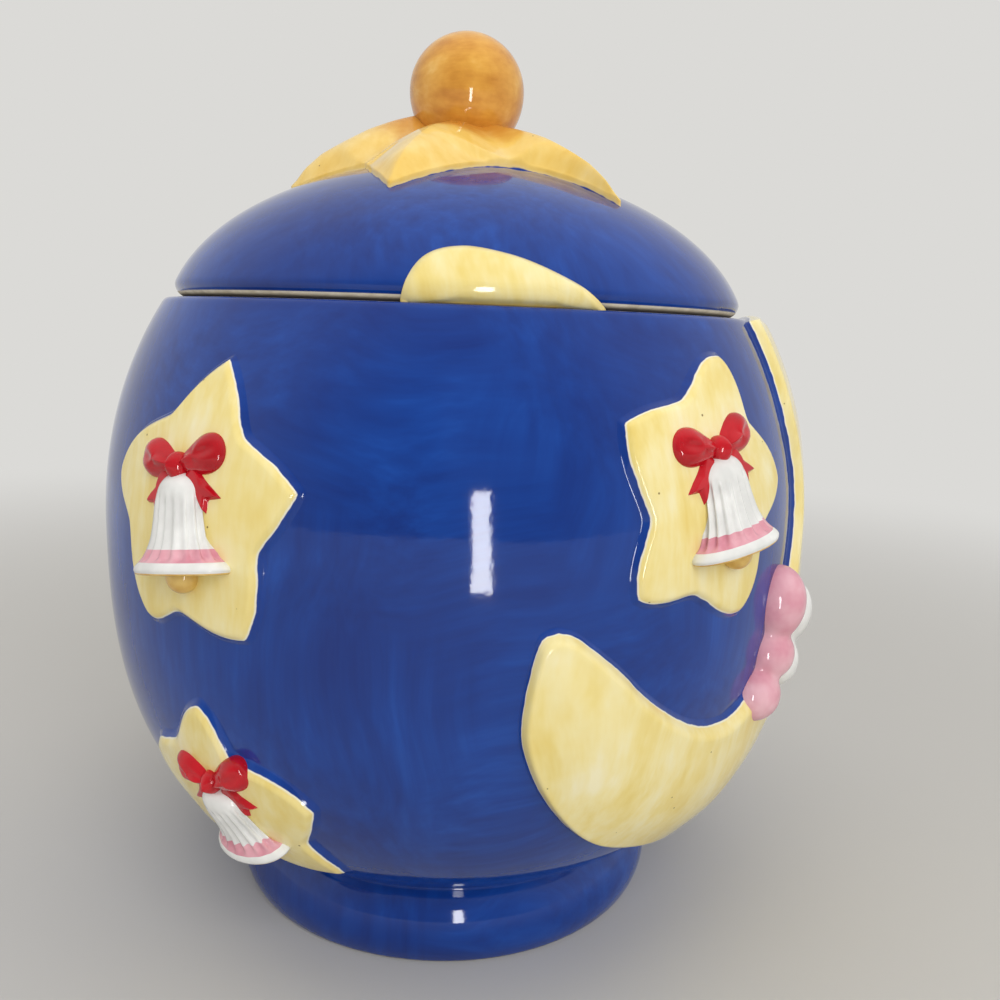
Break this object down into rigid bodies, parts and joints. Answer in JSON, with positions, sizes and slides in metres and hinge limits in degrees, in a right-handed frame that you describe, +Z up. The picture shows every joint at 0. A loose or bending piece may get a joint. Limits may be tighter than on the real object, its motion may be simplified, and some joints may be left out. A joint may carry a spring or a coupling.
{
  "type": "biscuit jar",
  "caption": "Round lidded biscuit jar of glazed earthenware with a domed lid, ball knob, foot ring and raised stars, bells, crescent moon and cloud puffs.",
  "frame": {"origin": "middle of the foot ring's underside, where the jar stands", "axes": "+Z up the jar's axis; -Y is the side with two stars above and a crescent's horn at its right"},
  "size_m": [0.2418, 0.2381, 0.2874],
  "materials": {
    "blue_glaze": "gloss",
    "cream_glaze": "gloss",
    "gold_glaze": "gloss",
    "amber_glaze": "gloss",
    "white_glaze": "gloss",
    "red_glaze": "gloss",
    "pink_glaze": "gloss"
  },
  "bodies": {
    "jar": {"bell_back_left": "white_glaze", "bell_back_right": "white_glaze", "bell_front_left": "white_glaze", "bell_front_right": "white_glaze", "bell_low_back": "white_glaze", "bell_low_left": "white_glaze", "bell_side_left": "white_glaze", "bow_back_left": "red_glaze", "bow_back_right": "red_glaze", "bow_front_left": "red_glaze", "bow_front_right": "red_glaze", "bow_low_back": "red_glaze", "bow_low_left": "red_glaze", "bow_side_left": "red_glaze", "cloud_pink": "pink_glaze", "cloud_white": "white_glaze", "crescent_moon": "cream_glaze", "jar_body": "blue_glaze", "star_back_left": "cream_glaze", "star_back_right": "cream_glaze", "star_front_left": "cream_glaze", "star_front_right": "cream_glaze", "star_low_back": "cream_glaze", "star_low_left": "cream_glaze", "star_side_left": "cream_glaze"},
    "lid": {"knob": "amber_glaze", "knob_star": "gold_glaze", "lid_dome": "blue_glaze", "lid_moon": "cream_glaze"}
  },
  "joints": [
    {"name": "lid_lift", "type": "slide", "parent": "jar", "child": "lid", "axis": [0, 0, 1], "range_m": [0, 0.12]}
  ]
}
